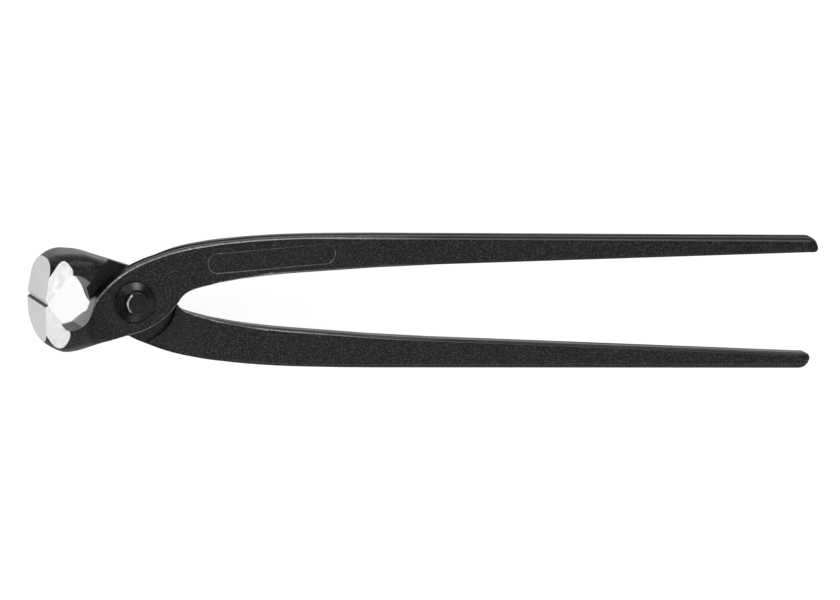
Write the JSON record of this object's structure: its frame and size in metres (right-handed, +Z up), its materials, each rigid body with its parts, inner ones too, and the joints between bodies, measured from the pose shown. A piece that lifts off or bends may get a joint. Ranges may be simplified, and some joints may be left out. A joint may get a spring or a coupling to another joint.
{
  "type": "rebar tying pliers",
  "caption": "End-cutting nippers with long slim bare steel handles, a riveted lap joint and broad ground jaws, for twisting and cutting tie wire.",
  "frame": {"origin": "On the pivot axis, at the centre of the flat end of the rivet's rear head.", "axes": "+X from the joint to the handle tips, +Y to the front lever's handle, +Z up along the pivot axis from the rear head to the front head."},
  "size_m": [0.2807, 0.047, 0.0244],
  "materials": {
    "forged_steel": "black oxidised forging skin with a fine grain, bare where the jaws are ground",
    "rivet_steel": "black oxidised steel, a little smoother than the levers"
  },
  "bodies": {
    "rear_lever": {"rear_lever": "forged_steel", "joint_rivet": "rivet_steel"},
    "front_lever": {"front_lever": "forged_steel"}
  },
  "joints": [
    {"name": "jaw_pivot", "type": "hinge", "parent": "rear_lever", "child": "front_lever", "pos_m": [0, 0, 0.0099], "axis": [0, 0, 1], "range_deg": [-3.2, 50]}
  ]
}
